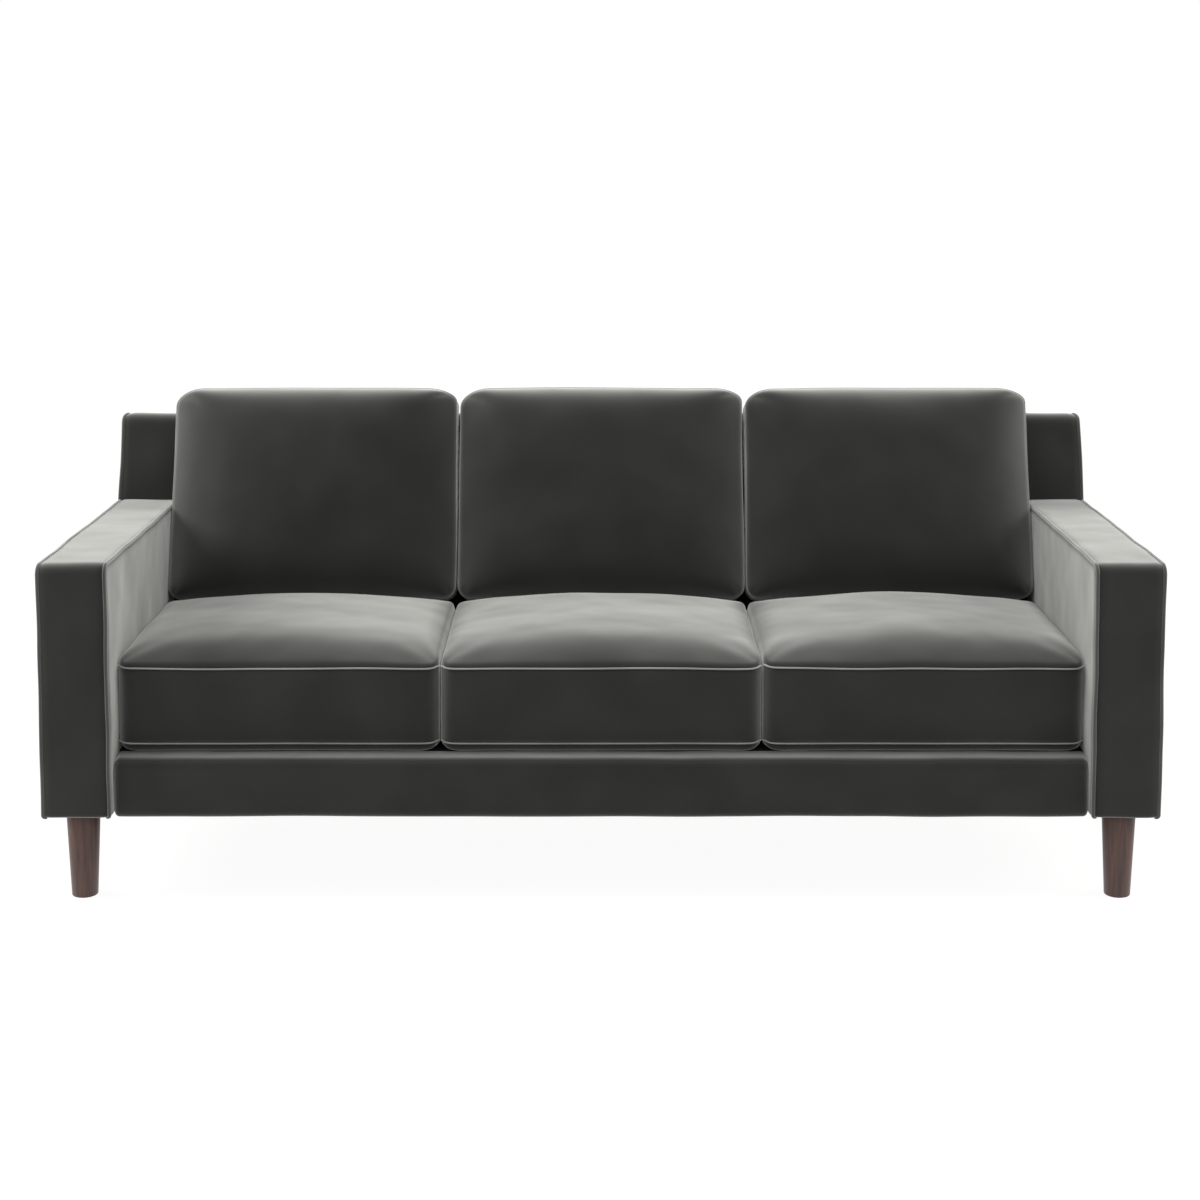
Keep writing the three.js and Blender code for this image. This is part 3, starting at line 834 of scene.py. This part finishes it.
# %% Seat cushions
seat_low, seat_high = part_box("seat_cushion_cover_centre")
pad_low, pad_high = raked_box("back_cushion_cover_centre")
SEAT_BELLY = 18 * MM
SEAT_BOXING = 134.5 * MM
SEAT_WANDER = 4 * MM
PAD_WANDER = 3.5 * MM
WAVE = 160 * MM
WELT_INSET = 0.7 * CUSHION_WELT
FRONT_INSET = 4 * MM
SQUEEZE = 2 * MM
WELT_STEP = 1.5 * MM
seat = {
    "width": seat_high.x - seat_low.x + 2 * SQUEEZE,
    "length": seat_high.y - seat_low.y - 2 * FRONT_INSET,
    "boxing": SEAT_BOXING,  # height of the strip between the seams
    "corners": 2 * [(24 * MM, 30 * MM)] + 2 * [(36 * MM, 54 * MM)],  # in plan, front and rear
    "crown": seat_high.z - seat_low.z - SEAT_BELLY - SEAT_BOXING + 3 * MM,
    "dome": 24 * MM,  # the part of the crown that arches over the whole panel
    "rise": (30 * MM, 0.6),  # reach and power of the rise from the upper seam
    "steeper_sides": 6,
    "corner_steeper": 3,
    "steeper_rear": 1,
    "belly": SEAT_BELLY,
    "sag": (3 * MM, 0.75),  # the same below the lower seam
    "steeper_low": 0.5,
    "lift": 3 * MM,  # of the rear corners
    "shoulder_x": 4 * MM,  # how far the panels bulge past their seams
    "shoulder_y": 4 * MM,
    "taper": 0.0,  # of the half width, towards the rear
    "draw_x": 0.0,  # how far the seams draw in between the corners
    "draw_y": 1.5 * MM,
    "puff_x": 1.2 * MM,  # how far the strip bulges
    "puff_y": 4.5 * MM,
}
proud = {**seat, "length": seat["length"] + 2 * WELT_STEP}
seat_case, seat_seams = make_case("seat_case", seat, (52, 48, 14))
moved = blow_up(seat_case, seat_seams)
print("seat cushion swelled by up to", round(moved / MM, 1), "mm")

PAD_DROOP = 9 * MM  # a soft cushion hangs lower than its solid, and stands a little taller
PAD_RISE = 2.5 * MM
PAD_FOOT = pad_low.z - PAD_DROOP
REST_GAP = 1.2 * MM
YIELD_FROM, YIELD_OVER = 40 * MM, 50 * MM


def seat_wander(place, seed, low, high, inset=0.0):
    """A seat cushion's point with its own unevenness, kept clear of what stands round it."""
    offset = uneven(place, WAVE, SEAT_WANDER, seed)
    rise = min(1.0, max(0.0, (place.z - low.z) / (high.z - low.z)))
    place = place + Vector((0.25 * offset.x, 0.4 * offset.y, offset.z * rise))
    place.x = min(max(place.x, low.x + inset), high.x - inset)
    place.z = max(place.z, low.z)
    over = (to_raked @ place).z - (PAD_FOOT - REST_GAP)
    if over > 0:
        place.z -= over * min(1, max(0, place.y - YIELD_FROM) / YIELD_OVER)
    return place


for where, seed in zip(SEATS, (31, 57, 83)):
    name = f"seat_cushion_{where}"
    low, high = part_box(f"seat_cushion_cover_{where}")
    origin = Vector(((low.x + high.x) / 2, (low.y + high.y) / 2, low.z + SEAT_BELLY))
    mesh = seat_case.copy()
    for vertex in mesh.vertices:
        vertex.co = seat_wander(origin + vertex.co, seed, low, high)
    add_core(f"seat_block_{where}", mesh, name, f"seat_cushion_foam_{where}")
    cushion = finish_piece(name, mesh, name, [f"seat_cushion_cover_{where}"])
    smooth = cushion.modifiers.new("smooth", "SUBSURF")
    smooth.levels = smooth.render_levels = 1
    for edge, level in (("top", 1), ("low", -1)):
        ring = [case_place(unit, proud) for unit in seam_units(level)]
        ring = [seat_wander(origin + point, seed, low, high, WELT_INSET) for point in ring]
        # The seat welts take the palest velvet, a painted highlight for their bright line.
        add_welt(f"seat_welt_{edge}_{where}", ring, CUSHION_WELT, name, painted_highlight_thin_cords, True)

# %% [markdown]
# The back cushions are softer: fibre filled, with a thinner boxing and a crown that bellies to
# the front. They are blown up lying on their back, and then stood up against the rake.

# %% Back cushions
PAD_BELLY = 14 * MM
PAD_BOXING = 60 * MM
pad = {
    "width": pad_high.x - pad_low.x - 2 * WELT_INSET,
    "length": pad_high.z + PAD_RISE - PAD_FOOT - 2 * WELT_INSET,
    "boxing": PAD_BOXING,
    "corners": 2 * [(26 * MM, 26 * MM)] + [(56 * MM, 36 * MM), (60 * MM, 26 * MM)],
    "crown": 72 * MM,
    "dome": 10 * MM,
    "rise": (26 * MM, 0.9),
    "steeper_sides": 0.45,
    "corner_steeper": 0.6,
    "steeper_rear": 0.9,
    "belly": PAD_BELLY,
    "sag": (30 * MM, 0.75),
    "steeper_low": 1,
    "lift": 0.0,
    "shoulder_x": 3 * MM,
    "shoulder_y": 3 * MM,
    "taper": 2 * MM,
    "draw_x": 0.5 * MM,
    "draw_y": -2 * MM,
    "puff_x": 1.5 * MM,
    "puff_y": 2 * MM,
}
pad_case, pad_seams = make_case("pad_case", pad, (52, 40, 12))
moved = blow_up(pad_case, pad_seams)
print("back cushion swelled by up to", round(moved / MM, 1), "mm")


def stand_up(lying, origin, seed, low, high):
    """A back cushion's point stood up against the rake, with its own unevenness."""
    place = origin + Vector((lying.x, -lying.z, lying.y))
    offset = uneven(place, WAVE, PAD_WANDER, seed)
    place += Vector((0.5 * offset.x, offset.y, 0.5 * offset.z))
    place.y = min(place.y, high.y)
    place.x = min(max(place.x, low.x), high.x)
    return from_raked @ place


for where, seed in zip(SEATS, (12, 37, 64)):
    name = f"back_cushion_{where}"
    low, high = raked_box(f"back_cushion_cover_{where}")
    origin = Vector(((low.x + high.x) / 2, high.y - PAD_BELLY, (PAD_FOOT + high.z + PAD_RISE) / 2))
    mesh = pad_case.copy()
    for vertex in mesh.vertices:
        vertex.co = stand_up(vertex.co, origin, seed, low, high)
    add_core(f"back_stuffing_{where}", mesh, name, f"back_cushion_filling_{where}")
    cushion = finish_piece(name, mesh, name, [f"back_cushion_cover_{where}"])
    smooth = cushion.modifiers.new("smooth", "SUBSURF")
    smooth.levels = smooth.render_levels = 1
    for edge, level in (("front", 1), ("rear", -1)):
        ring = [case_place(unit, pad) for unit in seam_units(level)]
        ring = [stand_up(point, origin, seed, low, high) for point in ring]
        # The back cushion welts take the palest velvet, a painted highlight for their bright line.
        add_welt(f"back_cushion_welt_{edge}_{where}", ring, CUSHION_WELT, name, painted_highlight_thin_cords, True)

# %% [markdown]
# The looks may stand a little proud of the frame, as cloth does, but not more.

# %% The view transform, and the end
scene.view_settings.view_transform = "Standard"
